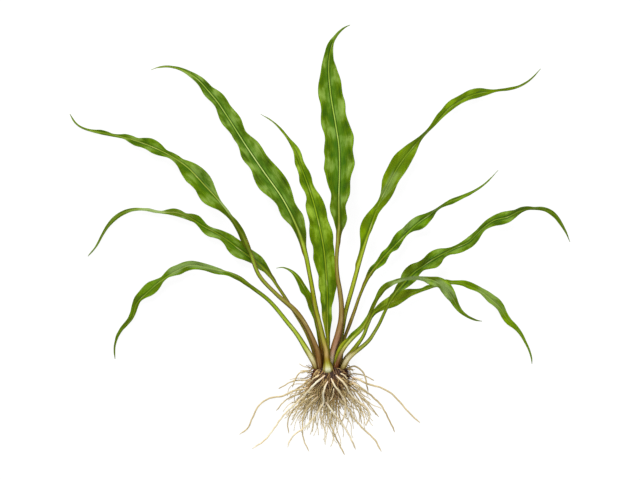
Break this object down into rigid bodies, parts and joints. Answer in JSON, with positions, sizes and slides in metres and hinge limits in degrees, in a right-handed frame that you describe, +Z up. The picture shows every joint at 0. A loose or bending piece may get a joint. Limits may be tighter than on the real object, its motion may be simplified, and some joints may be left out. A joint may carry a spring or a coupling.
{
  "type": "cryptocoryne plant",
  "caption": "Bare-root aquarium plant laid on its side: a fan of long narrow wavy ribbon leaves on slim petioles, a short rootstock and a fan of pale branching roots.",
  "frame": {"origin": "on the resting plane, below the middle of the plant's bounding box", "axes": "+Z up from the resting plane; +Y along the plant from its roots to its top leaves; +X to the right of someone who looks down on it with the leaves away from them"},
  "size_m": [0.3263, 0.2804, 0.0267],
  "materials": {
    "leaf": "satin leaf skin, parallel veined, pale midrib, brown to cream petiole",
    "rootstock": "rough dark brown with root and leaf scars",
    "root": "pale cream, smooth and slightly waxy",
    "fine_roots": "tan fibres, dark brown near the rootstock"
  },
  "bodies": {
    "root": {"rootstock": "rootstock", "fine_roots": "fine_roots", "leaf_far_left": "leaf", "leaf_left_middle": "leaf", "leaf_left_low": "leaf", "leaf_top_left": "leaf", "leaf_centre": "leaf", "leaf_top": "leaf", "leaf_top_right": "leaf", "leaf_right_middle": "leaf", "leaf_right_long": "leaf", "leaf_front_arching": "leaf", "leaf_right_low": "leaf", "leaf_small": "leaf", "root_left_long": "root", "root_left_front": "root", "root_left_upper": "root", "root_left_short": "root", "root_left_small": "root", "root_left_down": "root", "root_left_low": "root", "root_left_top": "root", "root_fork_left": "root", "root_fork_right": "root", "root_centre_short": "root", "root_centre": "root", "root_low_centre": "root", "root_right_low": "root", "root_right_front": "root", "root_right_thin": "root", "root_right_steep": "root", "root_right_branch": "root", "root_right_long": "root", "root_right_arch": "root", "root_right_small": "root", "root_right_top": "root"}
  },
  "joints": []
}
